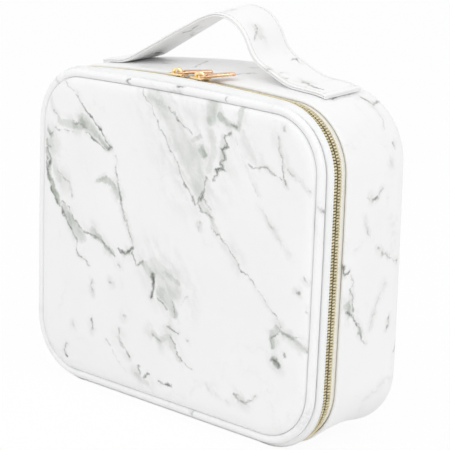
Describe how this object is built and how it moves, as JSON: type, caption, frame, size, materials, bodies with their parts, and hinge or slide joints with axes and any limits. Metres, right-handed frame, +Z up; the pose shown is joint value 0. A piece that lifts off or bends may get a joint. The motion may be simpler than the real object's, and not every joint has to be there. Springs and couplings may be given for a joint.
{
  "type": "makeup train case",
  "caption": "Soft padded make-up train case in white marble-print leather with a gold zip, a front lid hinged at the bottom, a strap handle and movable dividers inside.",
  "frame": {"origin": "on the surface the case stands on, under the middle of its bounding box", "axes": "+Z up, the lid faces -Y, +X to the right seen from the front"},
  "size_m": [0.262, 0.088, 0.2665],
  "materials": {
    "marble_leather": "glossy white artificial leather printed with grey marble veins",
    "white_tape": "woven zip tape",
    "gold_metal": "polished gold plating",
    "foam": "closed-cell foam sheet",
    "stiffener_board": "thin board",
    "lining_cloth": "plain woven lining",
    "elastic_webbing": "ribbed elastic",
    "hook_tape": "hook tape",
    "cord": "twisted cord"
  },
  "bodies": {
    "body": {"body_gusset": "marble_leather", "back_panel": "marble_leather", "wall_foam": "foam", "back_board": "foam", "body_lining": "lining_cloth", "rim_binding": "lining_cloth", "zip_tape_body": "white_tape", "zip_teeth_body": "gold_metal", "zip_stops_body": "gold_metal", "hinge_strip_body": "marble_leather", "handle_inner_strap": "marble_leather", "handle_outer_strap": "marble_leather", "handle_patches": "lining_cloth", "long_divider": "lining_cloth", "long_divider_hooks": "hook_tape"},
    "lid": {"lid_front_panel": "marble_leather", "lid_foam": "foam", "lid_board": "stiffener_board", "lid_piping": "marble_leather", "lid_piping_cord": "cord", "lid_lining": "lining_cloth", "lid_binding": "lining_cloth", "zip_tape_lid": "white_tape", "zip_teeth_lid": "gold_metal", "zip_stops_lid": "gold_metal", "hinge_strip_lid": "marble_leather", "brush_elastic": "elastic_webbing", "lid_pocket": "lining_cloth", "lid_pocket_binding": "lining_cloth"},
    "slider_left": {"slider_left": "gold_metal", "slider_crown_left": "gold_metal"},
    "slider_right": {"slider_right": "gold_metal", "slider_crown_right": "gold_metal"},
    "pull_left": {"zip_pull_left": "gold_metal"},
    "pull_right": {"zip_pull_right": "gold_metal"},
    "lower_divider_left": {"lower_divider_left": "lining_cloth", "lower_divider_left_hooks": "hook_tape"},
    "lower_divider_right": {"lower_divider_right": "lining_cloth", "lower_divider_right_hooks": "hook_tape"},
    "upper_divider_left": {"upper_divider_left": "lining_cloth", "upper_divider_left_hooks": "hook_tape"},
    "upper_divider_right": {"upper_divider_right": "lining_cloth", "upper_divider_right_hooks": "hook_tape"}
  },
  "joints": [
    {"name": "lid_hinge", "type": "hinge", "parent": "body", "child": "lid", "pos_m": [0, -0.031, 0], "axis": [1, 0, 0], "range_deg": [0, 175]},
    {"name": "slider_left_slide", "type": "slide", "parent": "body", "child": "slider_left", "axis": [-0.9996, 0, -0.0272], "range_m": [0, 0.06]},
    {"name": "pull_left_hinge", "type": "hinge", "parent": "slider_left", "child": "pull_left", "pos_m": [-0.00505, -0.031, 0.22959], "axis": [0.766, -0.6428, 0], "range_deg": [0, 100]},
    {"name": "slider_right_slide", "type": "slide", "parent": "body", "child": "slider_right", "axis": [0.9994, 0, -0.0333], "range_m": [0, 0.06]},
    {"name": "pull_right_hinge", "type": "hinge", "parent": "slider_right", "child": "pull_right", "pos_m": [0.01495, -0.031, 0.22953], "axis": [0.766, -0.6428, 0], "range_deg": [0, 100]},
    {"name": "lower_divider_left_slide", "type": "slide", "parent": "body", "child": "lower_divider_left", "axis": [1, 0, 0], "range_m": [-0.015, 0.015]},
    {"name": "lower_divider_right_slide", "type": "slide", "parent": "body", "child": "lower_divider_right", "axis": [1, 0, 0], "range_m": [-0.015, 0.015]},
    {"name": "upper_divider_left_slide", "type": "slide", "parent": "body", "child": "upper_divider_left", "axis": [1, 0, 0], "range_m": [-0.015, 0.015]},
    {"name": "upper_divider_right_slide", "type": "slide", "parent": "body", "child": "upper_divider_right", "axis": [1, 0, 0], "range_m": [-0.015, 0.015]}
  ]
}
